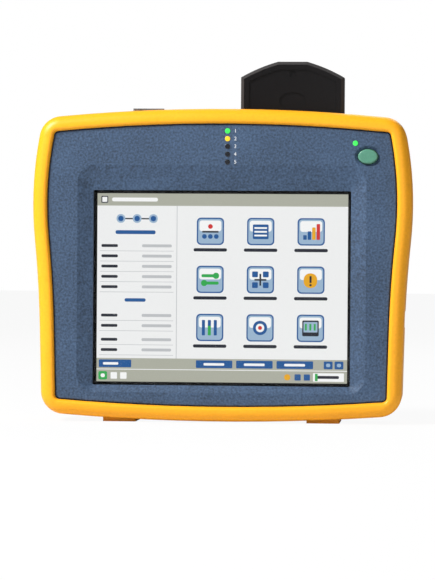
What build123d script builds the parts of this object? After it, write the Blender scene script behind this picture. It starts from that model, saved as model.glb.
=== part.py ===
from build123d import *
import os
from math import asin, cos, degrees, radians, sin, sqrt

# Handheld network tester: a rubber holster around a two-part plastic case, with a touch screen,
# a radio card in the top slot, a fibre module, a stylus, a battery pack and a tilt stand.
# Millimetres. It stands on its lower edge: screen towards -Y, top towards +Z, right towards +X.
# The origin is on the floor, under the middle of the whole depth.

# ---------------------------------------------------------------- driving dimensions

# Whole instrument
body_width = 197.0
body_height = 162.0
body_depth = 54.0
body_corner = 12.0
foot_height = 0.6

# Outline of the face: a bulge at hand height, a shallow waist, then a straight taper
bulge_radius = 190.0
bulge_height = 113.0
bulge_angle = 5.8
waist_radius = 600.0
taper_angle = 1.4
top_crown_radius = 880.0
bottom_crown_radius = 1100.0

# Holster
holster_wall = 4.0
holster_gap = 0.2
holster_depth = 41.0
holster_band = 8.0
lip_thickness = 3.4
rear_lip = 1.8
bead_radius = 5.6
bead_inner_radius = 1.9
holster_back_radius = 2.5
foot_width = 17.0
foot_spacing = 106.0
foot_depth = 30.0
foot_middle_y = -4.0
port_window_width = 156.0
port_window_front = -6.5

# Case
case_wall = 2.5
case_skin = 2.4
bead_proud = 1.8
panel_gap = 0.6
panel_corner = 2.2
front_case_depth = 17.2
back_inset = 7.0
back_edge_radius = 4.0
rear_foot_height = 2.0
fit = 0.3

# Screen
active_width = 130.6
active_height = 98.0
screen_height = 69.7
window_margin = 1.6
gasket_margin = 0.4
dish_depth = 3.0
dish_side = 8.0
dish_top = 13.0
dish_bottom = 3.6
dish_corner = 9.0
window_wall = 2.0
gasket_thickness = 0.8
touch_thickness = 1.8
touch_overlap = 6.0
lcd_border_x = 9.7
lcd_border_z = 9.0
lcd_depth = 7.5
lcd_glass_thickness = 1.6
lcd_glass_border = 3.2
lcd_gap = 0.2
lcd_floor = 1.0

# Status lamps and power button
lamp_count = 5
lamp_pitch = 4.0
lamp_radius = 1.35
lamp_x = 3.0
lamp_top = 11.6
lamp_proud = 0.35
power_lamp_x = 69.0
power_lamp_z = 144.9
button_x = 75.5
button_z = 138.1
button_width = 10.2
button_height = 7.5
button_proud = 1.2
button_travel = 0.6
button_gap = 0.4
button_dish = 1.8
button_dish_depth = 0.9

# Boards
chassis_thickness = 1.0
board_thickness = 1.6
board_standoff = 3.1
small_board = 1.2

# Ports on the top edge
lan_x = -62.0
lan_width = 16.0
lan_height = 13.5
lan_length = 21.0
sfp_x = -40.6
sfp_width = 14.6
sfp_height = 9.9
sfp_length = 47.0
sfp_wall = 0.4
sfp_nose = 6.4
usb_x = -19.0
usb_width = 13.1
usb_height = 5.8
usb_length = 14.0

# Radio card
card_x = 35.3
card_width = 54.0
card_thickness = 5.0
card_length = 85.6
card_cage_wall = 0.8
card_gap = 0.2
cap_width = 54.0
cap_side_height = 21.2
cap_height = 29.4
cap_flat = 15.2
cap_depth = 14.0
cap_front_y = -6.0
cap_wall = 1.6
ejector_size = 3.0
ejector_gap = 0.9
ejector_travel = 4.0
ejector_length = 32.0

# Power inlet on the right edge
inlet_z = 53.8
inlet_notch = 8.8
inlet_bore = 5.6
inlet_pin = 2.0
inlet_depth = 9.0

# Stylus in the right edge
stylus_low_z = 61.0
stylus_length = 85.0
stylus_radius = 2.9
stylus_y = 3.0
sleeve_wall = 0.8
scoop_radius = 20.0
scoop_width = 14.0
scoop_front_radius = 18.0
scoop_front_width = 11.0
scoop_front_depth = 4.6

# Battery pack, stand and latch on the back
cell_diameter = 17.0
cell_length = 65.5
cell_rows = 3
cell_space = 0.9
battery_wall = 1.0
bay_wall = 1.8
stand_side = 21.0
stand_leg = 8.0
stand_thickness = 3.4
stand_low_z = 14.6
stand_pivot_z = 98.0
stand_knuckle = 3.2
stand_pin_radius = 1.25
groove_depth = 4.0
latch_width = 20.0
latch_height = 8.0
latch_travel = 3.0

# Fasteners
screw_radius = 1.45
screw_head_radius = 2.8
screw_head_height = 2.2
screw_drive_radius = 1.3
column_radius = 3.7
insert_radius = 2.1
insert_length = 6.0
small_screw_radius = 1.15
small_head_radius = 2.2
small_head_height = 1.6

# ---------------------------------------------------------------- places worked out from them

base_z = foot_height
top_z = base_z + body_height
half_width = body_width / 2
case_inset = holster_wall + holster_gap
inner_inset = case_inset + case_wall
back_inner_inset = back_inset + case_wall

front_y = -body_depth / 2
back_y = body_depth / 2
panel_y = front_y + bead_proud
flange_y = front_y + lip_thickness + holster_gap
skin_y = panel_y + case_skin
parting_y = panel_y + front_case_depth
holster_back_y = front_y + holster_depth
step_y = holster_back_y - rear_lip - holster_gap
cover_y = back_y - rear_foot_height
cover_inner_y = cover_y - case_wall

dish_floor_y = panel_y + dish_depth
window_back_y = dish_floor_y + window_wall
touch_front_y = window_back_y + gasket_thickness
lcd_front_y = touch_front_y + touch_thickness
lcd_back_y = lcd_front_y + lcd_depth
chassis_back_y = lcd_back_y + chassis_thickness
board_front_y = chassis_back_y + board_standoff
board_back_y = board_front_y + board_thickness

screen_z = screen_height
window_width = active_width + 2 * window_margin
window_height = active_height + 2 * window_margin
lcd_width = active_width + 2 * lcd_border_x
lcd_height = active_height + 2 * lcd_border_z
lcd_top_z = screen_z + lcd_height / 2


def at_y(y):
    """Sketch plane across the depth at y, facing the user: sketch x is X and sketch y is Z."""
    return Plane.XZ.offset(-y)


def block(low, high, mode=Mode.ADD):
    """A box between two corners, in the part that is being built."""
    width, depth, height = (b - a for a, b in zip(low, high))
    with Locations(tuple(low)):
        Box(width, depth, height, align=(Align.MIN, Align.MIN, Align.MIN), mode=mode)


def rod(x, z, radius, y_front, y_back, mode=Mode.ADD):
    """A cylinder along the depth, in the part that is being built."""
    with BuildSketch(at_y(y_back)) as circle:
        with Locations((x, z)):
            Circle(radius)
    extrude(circle.sketch, amount=y_back - y_front, mode=mode)


def slab(face, y_front, y_back, mode=Mode.ADD):
    """A flat shape given thickness along the depth, in the part that is being built."""
    with BuildSketch(at_y(y_back)) as flat:
        add(face)
    extrude(flat.sketch, amount=y_back - y_front, mode=mode)


def finish(builder, name):
    """Labels a finished piece and writes it."""
    builder.part.label = name
    export_step(builder.part, f"parts/{name}.step")


# Centres of the side's two arcs, for the right-hand side of the face
bulge_z = base_z + bulge_height
bulge_x = half_width - bulge_radius
waist_x = bulge_x + (bulge_radius + waist_radius) * cos(radians(bulge_angle))
waist_z = bulge_z - (bulge_radius + waist_radius) * sin(radians(bulge_angle))


def outline(inset, corner):
    """The outline of the face, moved in by inset, with its four corners rounded."""
    beyond = 5.0
    bulge_rise = degrees(asin((top_z + beyond - bulge_z) / bulge_radius))
    top_sweep = degrees(asin((half_width + beyond) / top_crown_radius))
    bottom_sweep = degrees(asin((half_width + beyond) / bottom_crown_radius))
    with BuildSketch() as face:
        with BuildLine():
            bulge = CenterArc((bulge_x, bulge_z), bulge_radius, -bulge_angle, bulge_angle + bulge_rise)
            waist = CenterArc(
                (waist_x, waist_z), waist_radius, 180 - bulge_angle, bulge_angle - taper_angle
            )
            taper = PolarLine(waist @ 1, bulge_z, 270 - taper_angle)
            mirror(about=Plane.YZ)
            Line(bulge @ 1, (-(bulge @ 1).X, (bulge @ 1).Y))
            Line(taper @ 1, (-(taper @ 1).X, (taper @ 1).Y))
        make_face()
        with BuildLine():
            top = CenterArc((0, top_z - top_crown_radius), top_crown_radius, 90 - top_sweep, 2 * top_sweep)
            bottom = CenterArc(
                (0, base_z + bottom_crown_radius), bottom_crown_radius, 270 - bottom_sweep, 2 * bottom_sweep
            )
            Line(top @ 0, bottom @ 1)
            Line(top @ 1, bottom @ 0)
        make_face(mode=Mode.INTERSECT)
        if inset:
            offset(amount=-inset, kind=Kind.INTERSECTION)
        levels = face.vertices().group_by(Axis.Y)
        fillet(levels[0] + levels[-1], radius=corner)
    return face.sketch


def crown_z(x, inset):
    """Height of the crowned top edge at x, moved down by inset."""
    return top_z - top_crown_radius + sqrt((top_crown_radius - inset) ** 2 - x**2)


def bottom_z(x, inset):
    """Height of the crowned bottom edge at x, moved up by inset."""
    return base_z + bottom_crown_radius - sqrt((bottom_crown_radius - inset) ** 2 - x**2)


def side_x(z, inset):
    """Half width of the face at height z, below the bulge, moved in by inset."""
    taper_start_z = waist_z + waist_radius * sin(radians(taper_angle))
    reach = waist_radius + inset
    if z >= taper_start_z:
        return waist_x - sqrt(reach**2 - (z - waist_z) ** 2)
    start_x = waist_x - reach * cos(radians(taper_angle))
    return start_x - (taper_start_z - z) * sin(radians(taper_angle)) / cos(radians(taper_angle))


holster_face = outline(0, body_corner)
holster_inner_face = outline(holster_wall, body_corner - holster_wall)
case_face = outline(case_inset, body_corner - case_inset)
case_inner_face = outline(inner_inset, body_corner - inner_inset)
panel_face = outline(holster_band + panel_gap / 2, panel_corner)
lip_face = outline(holster_band - panel_gap / 2, panel_corner + panel_gap / 2)
back_face = outline(back_inset, body_corner - case_inset)
rear_lip_face = outline(back_inset - holster_gap, body_corner - case_inset + holster_gap)
back_inner_face = outline(back_inner_inset, body_corner - inner_inset)

# Case screws: two at the feet, three along the top
foot_screw_x = half_width - 16.5
foot_screw_z = bottom_z(foot_screw_x, back_inset) + column_radius + 1.8
top_screw_x = half_width - 22.5
top_screw_z = crown_z(top_screw_x, back_inset) - column_radius - 0.3
middle_screw_x = -6.0
screw_spots = [
    (-foot_screw_x, foot_screw_z),
    (foot_screw_x, foot_screw_z),
    (-top_screw_x, top_screw_z),
    (middle_screw_x, top_screw_z),
    (top_screw_x, top_screw_z),
]
screw_seat_y = cover_y - 8.0
screw_tip_y = parting_y - insert_length + 1.0

# Screen frame screws and main board screws
chassis_half = lcd_width / 2 + 6.0
frame_screw_x = lcd_width / 2 + 4.0
frame_spots = [(sx * frame_screw_x, screen_z + sz * 38.0) for sx in (-1, 1) for sz in (-1, 1)]
board_spots = [(sx * 66.0, screen_z + sz * 45.0) for sx in (-1, 1) for sz in (-1, 1)]
post_radius = 2.5

# Small boards above the screen, on posts behind the front skin
strip_front_y = skin_y + 5.8
strip_back_y = strip_front_y + small_board
strip_z = lcd_top_z + 11.5
indicator_posts = [(30.0, strip_z), (60.0, strip_z)]
inverter_posts = [(-66.0, strip_z), (-22.0, strip_z)]
lamp_top_z = top_z - lamp_top
lamp_spots = [(lamp_x, lamp_top_z - i * lamp_pitch) for i in range(lamp_count)]

# Top edge: faces of the ports, and the bottom of the cap on the radio card
port_z = crown_z(lan_x - lan_width / 2, case_inset) - fit
cap_z = crown_z(0, case_inset) + 0.4
card_y = board_back_y + card_cage_wall + card_gap
card_back_y = card_y + card_thickness
cage_back_y = card_back_y + card_gap + card_cage_wall
card_low_z = cap_z - card_length
cage_top_z = crown_z(card_x + card_width / 2 + 4.0, inner_inset) - fit
cage_left_x = card_x - card_width / 2 - card_gap - card_cage_wall
cage_right_x = card_x + card_width / 2 + card_gap + card_cage_wall
ejector_x = cage_right_x + ejector_gap + ejector_size / 2
ejector_y = card_y + card_thickness / 2

# Right edge: stylus sleeve and power inlet
sleeve_bore = stylus_radius + 0.2
sleeve_radius = sleeve_bore + sleeve_wall
stylus_x = side_x(stylus_low_z, inner_inset) - sleeve_radius - fit
stylus_top_z = stylus_low_z + stylus_length
sleeve_top_z = top_z - 13.0
scoop_x = stylus_x + stylus_radius - 0.9 + scoop_radius
scoop_z = stylus_top_z - 16.0
inlet_y = board_back_y + 4.5
inlet_face_x = side_x(inlet_z, case_inset) - fit

# Back: stand, battery bay and latch
stand_half = half_width - stand_side
groove_half = stand_half + fit
groove_floor_y = cover_y - groove_depth
stand_front_y = groove_floor_y + fit
stand_back_y = stand_front_y + stand_thickness
pivot_y = stand_back_y - stand_knuckle
groove_low_z = stand_low_z - fit
groove_top_z = stand_pivot_z + stand_knuckle + fit
bay_half = stand_half - stand_leg - fit - bay_wall
bay_low_z = stand_low_z + stand_leg + fit + bay_wall
bay_height = cell_rows * (cell_diameter + cell_space) + 2 * battery_wall + 2 * fit
bay_top_z = bay_low_z + bay_height
bay_floor_y = cage_back_y + 1.9
battery_front_y = bay_floor_y + fit
battery_back_y = cover_y - fit
battery_half = bay_half - fit
battery_low_z = bay_low_z + fit
battery_top_z = bay_top_z - fit
latch_low_z = bay_top_z + bay_wall + 0.6
latch_front_y = cover_y - 3.0
latch_slot_half = latch_width / 2 + fit
contact_z = bay_low_z + 30.0
terminal_count = 5
terminal_pitch = 5.0

os.makedirs("parts", exist_ok=True)

# ---------------------------------------------------------------- holster


def scoop(mode=Mode.SUBTRACT):
    """Finger scoop in the right edge that bares the stylus."""
    rod(scoop_x, scoop_z, scoop_radius, stylus_y - scoop_width / 2, stylus_y + scoop_width / 2, mode)


with BuildPart() as holster:
    slab(holster_face, front_y, holster_back_y)
    fillet(holster.faces().sort_by(Axis.Y)[0].edges(), radius=bead_radius)
    fillet(holster.faces().sort_by(Axis.Y)[-1].edges(), radius=holster_back_radius)
    slab(holster_inner_face, front_y + lip_thickness, holster_back_y - rear_lip, Mode.SUBTRACT)
    slab(rear_lip_face, front_y + lip_thickness, holster_back_y, Mode.SUBTRACT)
    slab(lip_face, front_y, front_y + lip_thickness, Mode.SUBTRACT)
    fillet(holster.faces().sort_by(Axis.Y)[0].inner_wires().edges(), radius=bead_inner_radius)
    # window in the top wall around the ports, open to the back
    block(
        (-port_window_width / 2, port_window_front, top_z - 4 * holster_wall),
        (port_window_width / 2, holster_back_y, top_z),
        Mode.SUBTRACT,
    )
    # notch for the power plug, open to the back
    block(
        (half_width - 3 * holster_wall, inlet_y - 7.0, inlet_z - inlet_notch / 2),
        (half_width, holster_back_y, inlet_z + inlet_notch / 2),
        Mode.SUBTRACT,
    )
    scoop()
    rod(
        half_width - scoop_front_depth + scoop_front_radius,
        scoop_z,
        scoop_front_radius,
        stylus_y - scoop_width / 2 - scoop_front_width,
        stylus_y,
        Mode.SUBTRACT,
    )
    with BuildSketch(Plane.XY.offset(top_z)):
        with Locations((stylus_x, stylus_y)):
            Circle(stylus_radius + fit)
    extrude(amount=-6 * holster_wall, mode=Mode.SUBTRACT)
finish(holster, "holster")

with BuildPart() as foot_pads:
    with Locations((-foot_spacing / 2, foot_middle_y, 0), (foot_spacing / 2, foot_middle_y, 0)):
        Box(foot_width, foot_depth, 2 * holster_wall, align=(Align.CENTER, Align.CENTER, Align.MIN))
    slab(holster_face, front_y, holster_back_y, Mode.SUBTRACT)
finish(foot_pads, "foot_pads")

# ---------------------------------------------------------------- front case

dish_width = window_width + 2 * dish_side
dish_height = window_height + dish_top + dish_bottom
dish_z = screen_z + (dish_top - dish_bottom) / 2

with BuildPart() as front_case:
    slab(case_face, flange_y, parting_y)
    slab(panel_face, panel_y, flange_y)
    fillet(front_case.faces().sort_by(Axis.Y)[0].edges(), radius=0.5)
    slab(case_inner_face, skin_y, parting_y, Mode.SUBTRACT)
    # thick frame behind the sunken screen surround
    with BuildSketch(at_y(window_back_y)):
        with Locations((0, dish_z)):
            Rectangle(dish_width - 3.0, dish_height - 3.0)
    extrude(amount=window_back_y - skin_y + case_skin / 2)
    # sunken surround, sloping down to the screen window
    with BuildSketch(at_y(panel_y)):
        with Locations((0, dish_z)):
            RectangleRounded(dish_width, dish_height, dish_corner)
    with BuildSketch(at_y(dish_floor_y)):
        with Locations((0, screen_z)):
            RectangleRounded(window_width, window_height, 0.8)
    loft(mode=Mode.SUBTRACT)
    with BuildSketch(at_y(window_back_y)):
        with Locations((0, screen_z)):
            RectangleRounded(window_width, window_height, 0.8)
    extrude(amount=window_back_y - panel_y, mode=Mode.SUBTRACT)
    # sockets for the case screws, with room for the brass inserts
    for x, z in screw_spots:
        rod(x, z, column_radius, flange_y, parting_y)
    for x, z in screw_spots:
        rod(x, z, insert_radius, parting_y - insert_length - 2.0, parting_y, Mode.SUBTRACT)
    # posts for the screen frame and the two strip boards
    for x, z in frame_spots:
        rod(x, z, post_radius, skin_y - case_skin / 2, lcd_back_y)
        rod(x, z, small_screw_radius, lcd_back_y - 6.0, lcd_back_y, Mode.SUBTRACT)
    for x, z in indicator_posts + inverter_posts:
        rod(x, z, post_radius, skin_y - case_skin / 2, strip_front_y)
        rod(x, z, small_screw_radius, strip_front_y - 4.5, strip_front_y, Mode.SUBTRACT)
    # lamp holes
    for x, z in lamp_spots:
        rod(x, z, lamp_radius + 0.05, panel_y, skin_y, Mode.SUBTRACT)
    rod(power_lamp_x, power_lamp_z, lamp_radius + 0.05, panel_y, skin_y, Mode.SUBTRACT)
    # power button: a shallow oval dish with an oval hole
    with BuildSketch(at_y(panel_y)):
        with Locations((button_x, button_z)):
            Ellipse(button_width / 2 + button_dish, button_height / 2 + button_dish)
    with BuildSketch(at_y(panel_y + button_dish_depth)):
        with Locations((button_x, button_z)):
            Ellipse(button_width / 2 + button_gap, button_height / 2 + button_gap)
    loft(mode=Mode.SUBTRACT)
    with BuildSketch(at_y(skin_y)):
        with Locations((button_x, button_z)):
            Ellipse(button_width / 2 + button_gap, button_height / 2 + button_gap)
    extrude(amount=skin_y - panel_y, mode=Mode.SUBTRACT)
    # groove for the seal
    seal_outer = outline(case_inset + 0.7, body_corner - case_inset - 0.7)
    seal_inner = outline(case_inset + 1.8, body_corner - case_inset - 1.8)
    with BuildSketch(at_y(parting_y)):
        add(seal_outer)
        add(seal_inner, mode=Mode.SUBTRACT)
    extrude(amount=1.0, mode=Mode.SUBTRACT)
finish(front_case, "front_case")

with BuildPart() as case_seal:
    with BuildSketch(at_y(parting_y)):
        add(outline(case_inset + 0.75, body_corner - case_inset - 0.75))
        add(outline(case_inset + 1.75, body_corner - case_inset - 1.75), mode=Mode.SUBTRACT)
    extrude(amount=0.95)
finish(case_seal, "case_seal")

# ---------------------------------------------------------------- rear cover

scoop_front_y = stylus_y - scoop_width / 2
scoop_back_y = stylus_y + scoop_width / 2
scoop_wall = 1.8
groove_wall = 1.8
pivot_block = stand_knuckle + 3.2
ports = [
    (lan_x, lan_width, lan_height),
    (sfp_x, sfp_width, sfp_height),
    (usb_x, usb_width, usb_height),
]


def scoop_housing(face):
    """A hollow's outline, less the wall around the finger scoop."""
    with BuildSketch() as hollow:
        add(face)
        with Locations((scoop_x, scoop_z)):
            Circle(scoop_radius + scoop_wall, mode=Mode.SUBTRACT)
    return hollow.sketch


with BuildPart() as rear_cover:
    slab(case_face, parting_y, step_y)
    slab(back_face, step_y, cover_y)
    fillet(rear_cover.faces().sort_by(Axis.Y)[-1].edges(), radius=back_edge_radius)
    slab(case_inner_face, parting_y, scoop_front_y - scoop_wall, Mode.SUBTRACT)
    slab(scoop_housing(case_inner_face), scoop_front_y - scoop_wall, step_y - case_wall, Mode.SUBTRACT)
    slab(scoop_housing(back_inner_face), step_y - case_wall, scoop_back_y + scoop_wall, Mode.SUBTRACT)
    slab(back_inner_face, scoop_back_y + scoop_wall, cover_inner_y, Mode.SUBTRACT)
    # walls of the battery bay, the stand's groove and the latch pocket
    block(
        (-bay_half - bay_wall, bay_floor_y - 1.6, bay_low_z - bay_wall),
        (bay_half + bay_wall, cover_inner_y + 1.0, bay_top_z + bay_wall),
    )
    block(
        (-groove_half - groove_wall, groove_floor_y - groove_wall, groove_low_z - groove_wall),
        (groove_half + groove_wall, cover_inner_y + 1.0, bay_low_z),
    )
    for side in (-1, 1):
        leg_x = side * (stand_half - stand_leg / 2)
        leg_width = stand_leg + 2 * fit
        with Locations((leg_x, groove_floor_y - groove_wall, groove_low_z)):
            Box(
                leg_width + 2 * groove_wall,
                groove_wall + 2.5,
                groove_top_z + groove_wall - groove_low_z,
                align=(Align.CENTER, Align.MIN, Align.MIN),
            )
        with Locations((leg_x, cover_inner_y + 1.0, stand_pivot_z)):
            Box(
                leg_width + 2 * groove_wall,
                cover_inner_y + 1.0 - pivot_y + pivot_block,
                2 * pivot_block,
                align=(Align.CENTER, Align.MAX, Align.CENTER),
            )
    block(
        (-latch_slot_half - 1.8, latch_front_y - fit - 1.8, bay_top_z),
        (latch_slot_half + 1.8, cover_inner_y + 1.0, latch_low_z + latch_height + latch_travel + fit + 1.8),
    )
    # columns for the case screws
    for x, z in screw_spots:
        rod(x, z, column_radius, parting_y, cover_inner_y + 1.0)
    for x, z in screw_spots:
        rod(x, z, screw_radius + 0.15, parting_y, cover_y, Mode.SUBTRACT)
        rod(x, z, screw_head_radius + fit, screw_seat_y, cover_y, Mode.SUBTRACT)
    # battery bay
    block((-bay_half, bay_floor_y, bay_low_z), (bay_half, cover_y, bay_top_z), Mode.SUBTRACT)
    with Locations((0, bay_floor_y, contact_z)):
        Box(26.0 + 2 * fit, 6.0, 8.0 + 2 * fit, mode=Mode.SUBTRACT)
    # stand groove with its pivots
    block(
        (-groove_half, groove_floor_y, groove_low_z),
        (groove_half, cover_y, stand_low_z + stand_leg + fit),
        Mode.SUBTRACT,
    )
    for side in (-1, 1):
        leg_x = side * (stand_half - stand_leg / 2)
        leg_width = stand_leg + 2 * fit
        with Locations((leg_x, groove_floor_y, groove_low_z)):
            Box(
                leg_width,
                cover_y - groove_floor_y,
                groove_top_z - groove_low_z,
                align=(Align.CENTER, Align.MIN, Align.MIN),
                mode=Mode.SUBTRACT,
            )
        with Locations((leg_x, pivot_y, stand_pivot_z)):
            Cylinder(stand_knuckle + 0.4, leg_width, rotation=(0, 90, 0), mode=Mode.SUBTRACT)
            Cylinder(
                stand_pin_radius + 0.05, leg_width + 2 * groove_wall, rotation=(0, 90, 0), mode=Mode.SUBTRACT
            )
    # latch pocket, and the slot for its tongue
    block(
        (-latch_slot_half, latch_front_y - fit, latch_low_z - fit),
        (latch_slot_half, cover_y, latch_low_z + latch_height + latch_travel + fit),
        Mode.SUBTRACT,
    )
    block((-6.3, latch_front_y - fit, bay_top_z), (6.3, latch_front_y + 1.8, latch_low_z), Mode.SUBTRACT)
    # port openings in the top edge
    for x, width, height in ports:
        block(
            (x - width / 2 - fit, board_back_y - fit, crown_z(x, back_inner_inset) - 4.0),
            (x + width / 2 + fit, board_back_y + height + fit, top_z),
            Mode.SUBTRACT,
        )
    card_half = card_width / 2 + fit
    block(
        (card_x - card_half, card_y - fit, crown_z(card_x, back_inner_inset) - 4.0),
        (card_x + card_half, card_back_y + fit, top_z),
        Mode.SUBTRACT,
    )
    eject_half = ejector_size / 2 + fit
    block(
        (ejector_x - eject_half, ejector_y - eject_half, crown_z(ejector_x, back_inner_inset) - 4.0),
        (ejector_x + eject_half, ejector_y + eject_half, top_z),
        Mode.SUBTRACT,
    )
    # power inlet, finger scoop and stylus well in the right edge
    block(
        (side_x(inlet_z, inner_inset) - 3.0, board_back_y - fit, inlet_z - inlet_depth / 2 - fit),
        (half_width, board_back_y + inlet_depth + fit, inlet_z + inlet_depth / 2 + fit),
        Mode.SUBTRACT,
    )
    scoop()
    with BuildSketch(Plane.XY.offset(stylus_low_z - 1.4)):
        with Locations((stylus_x, stylus_y)):
            Circle(sleeve_radius + 0.2)
    extrude(amount=sleeve_top_z + 1.4 + fit - stylus_low_z, mode=Mode.SUBTRACT)
    with BuildSketch(Plane.XY.offset(top_z)):
        with Locations((stylus_x, stylus_y)):
            Circle(stylus_radius + fit)
    extrude(amount=sleeve_top_z - top_z, mode=Mode.SUBTRACT)
    # speaker grille and vents
    with BuildSketch(at_y(cover_y)):
        with Locations((-50.0, 128.0)):
            with HexLocations(1.9, 7, 7):
                Circle(1.0)
        with Locations((0, 106.0)):
            with GridLocations(6.0, 1, 11, 1):
                SlotOverall(14.0, 2.4, rotation=90)
    extrude(amount=case_wall, mode=Mode.SUBTRACT)
finish(rear_cover, "rear_cover")

# ---------------------------------------------------------------- screen

with BuildPart() as display_gasket:
    with BuildSketch(at_y(touch_front_y)):
        with Locations((0, screen_z)):
            Rectangle(window_width + 8.0, window_height + 8.0)
            Rectangle(
                window_width + 2 * gasket_margin,
                window_height + 2 * gasket_margin,
                mode=Mode.SUBTRACT,
            )
    extrude(amount=gasket_thickness)
finish(display_gasket, "display_gasket")

with BuildPart() as touch_panel:
    with BuildSketch(at_y(lcd_front_y)):
        with Locations((0, screen_z)):
            RectangleRounded(active_width + 2 * touch_overlap, active_height + 2 * touch_overlap, 1.0)
    extrude(amount=touch_thickness)
finish(touch_panel, "touch_panel")

glass_width = active_width + 2 * lcd_glass_border
glass_height = active_height + 2 * lcd_glass_border
glass_back_y = lcd_front_y + lcd_gap + lcd_glass_thickness

with BuildPart() as lcd_panel:
    with BuildSketch(at_y(glass_back_y)):
        with Locations((0, screen_z)):
            Rectangle(glass_width, glass_height)
    extrude(amount=lcd_glass_thickness)
finish(lcd_panel, "lcd_panel")

with BuildPart() as backlight_guide:
    with BuildSketch(at_y(lcd_back_y - lcd_floor)):
        with Locations((0, screen_z)):
            Rectangle(glass_width, glass_height)
    extrude(amount=lcd_back_y - lcd_floor - glass_back_y)
finish(backlight_guide, "backlight_guide")

with BuildPart() as lcd_frame:
    with BuildSketch(at_y(lcd_back_y)):
        with Locations((0, screen_z)):
            RectangleRounded(lcd_width, lcd_height, 1.5)
    extrude(amount=lcd_depth)
    with BuildSketch(at_y(lcd_back_y - lcd_floor)):
        with Locations((0, screen_z)):
            Rectangle(glass_width + 0.4, glass_height + 0.4)
    extrude(amount=lcd_depth, mode=Mode.SUBTRACT)
finish(lcd_frame, "lcd_frame")

with BuildPart() as chassis_plate:
    with BuildSketch(at_y(chassis_back_y)):
        with Locations((0, screen_z)):
            RectangleRounded(2 * (chassis_half + 0.5), lcd_height - 18.0, 2.0)
        with Locations(frame_spots + board_spots):
            Circle(small_screw_radius + 0.15, mode=Mode.SUBTRACT)
        with Locations((0, screen_z)):
            with GridLocations(36.0, 30.0, 3, 3):
                SlotOverall(24.0, 6.0, mode=Mode.SUBTRACT)
    extrude(amount=chassis_thickness)
finish(chassis_plate, "chassis_plate")


def screws(spots, radius, head_radius, head_height, seat_y, tip_y, drive):
    """Machine screws facing the back, with a six-sided drive in each head."""
    for x, z in spots:
        rod(x, z, head_radius, seat_y, seat_y + head_height)
        rod(x, z, radius, tip_y, seat_y)
        with BuildSketch(at_y(seat_y + head_height)) as socket:
            with Locations((x, z)):
                RegularPolygon(drive, 6)
        extrude(socket.sketch, amount=head_height * 0.6, mode=Mode.SUBTRACT)


with BuildPart() as frame_screws:
    screws(
        frame_spots,
        small_screw_radius - 0.05,
        small_head_radius,
        small_head_height,
        chassis_back_y,
        lcd_back_y - 5.0,
        1.0,
    )
finish(frame_screws, "frame_screws")

# ---------------------------------------------------------------- boards

with BuildPart() as board_standoffs:
    for x, z in board_spots:
        rod(x, z, post_radius, chassis_back_y, board_front_y)
        rod(x, z, small_screw_radius, chassis_back_y, board_front_y, Mode.SUBTRACT)
finish(board_standoffs, "board_standoffs")

with BuildPart() as board_screws:
    screws(
        board_spots,
        small_screw_radius - 0.05,
        small_head_radius,
        small_head_height,
        board_back_y,
        chassis_back_y - chassis_thickness + 0.2,
        1.0,
    )
finish(board_screws, "board_screws")

board_half = side_x(stylus_low_z, inner_inset) - 6.5
board_low_z = base_z + 19.4
board_top_z = crown_z(board_half, inner_inset) - 0.5

with BuildPart() as main_board:
    block((-board_half, board_front_y, board_low_z), (board_half, board_back_y, board_top_z))
    for x, z in screw_spots:
        rod(x, z, column_radius + 0.5, board_front_y, board_back_y, Mode.SUBTRACT)
    for x, z in board_spots:
        rod(x, z, small_screw_radius + 0.15, board_front_y, board_back_y, Mode.SUBTRACT)
finish(main_board, "main_board")

with BuildPart() as processor_shield:
    block((-58.0, board_back_y, 84.0), (-14.0, board_back_y + 4.2, 106.0))
    with BuildSketch(at_y(board_back_y + 4.2)):
        with Locations((-36.0, 95.0)):
            with GridLocations(6.0, 6.0, 6, 3):
                Circle(1.2)
    extrude(amount=0.5, mode=Mode.SUBTRACT)
    block((-57.5, board_back_y, 84.5), (-14.5, board_back_y + 3.7, 105.5), Mode.SUBTRACT)
finish(processor_shield, "processor_shield")

with BuildPart() as board_chips:
    with BuildSketch(at_y(board_back_y + 1.6)):
        for x, z, width, height in (
            (-60.0, 66.0, 18.0, 18.0),
            (-34.0, 66.0, 22.0, 10.0),
            (-8.0, 71.0, 12.0, 18.0),
            (34.0, 60.0, 26.0, 12.0),
            (-60.0, 38.0, 12.0, 8.0),
            (40.0, 32.0, 14.0, 14.0),
            (-19.0, 122.0, 10.0, 10.0),
        ):
            with Locations((x, z)):
                Rectangle(width, height)
    extrude(amount=1.6)
    with Locations((73.0, board_back_y, 34.0), (73.0, board_back_y, 90.0)):
        Cylinder(4.0, 6.0, rotation=(-90, 0, 0), align=(Align.CENTER, Align.CENTER, Align.MIN))
finish(board_chips, "board_chips")

with BuildPart() as indicator_board:
    block((-1.0, strip_front_y, strip_z - 7.0), (83.0, strip_back_y, strip_z + 5.0))
    block((-1.0, strip_front_y, strip_z), (8.0, strip_back_y, lamp_top_z + 2.0))
    for x, z in indicator_posts:
        rod(x, z, small_screw_radius + 0.15, strip_front_y, strip_back_y, Mode.SUBTRACT)
    for x, z in lamp_spots + [(power_lamp_x, strip_z + 4.4)]:
        with Locations((x, strip_front_y, z)):
            Box(1.6, 0.8, 0.9, align=(Align.CENTER, Align.MAX, Align.CENTER))
finish(indicator_board, "indicator_board")

with BuildPart() as inverter_board:
    block((-71.0, strip_front_y, strip_z - 6.5), (-15.0, strip_back_y, strip_z + 5.5))
    block((-56.0, strip_back_y, strip_z - 5.5), (-38.0, strip_back_y + 4.5, strip_z + 4.5))
    block((-33.0, strip_back_y, strip_z - 4.0), (-28.0, strip_back_y + 3.0, strip_z + 4.0))
    for x, z in inverter_posts:
        rod(x, z, small_screw_radius + 0.15, strip_front_y, strip_back_y, Mode.SUBTRACT)
finish(inverter_board, "inverter_board")

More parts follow.
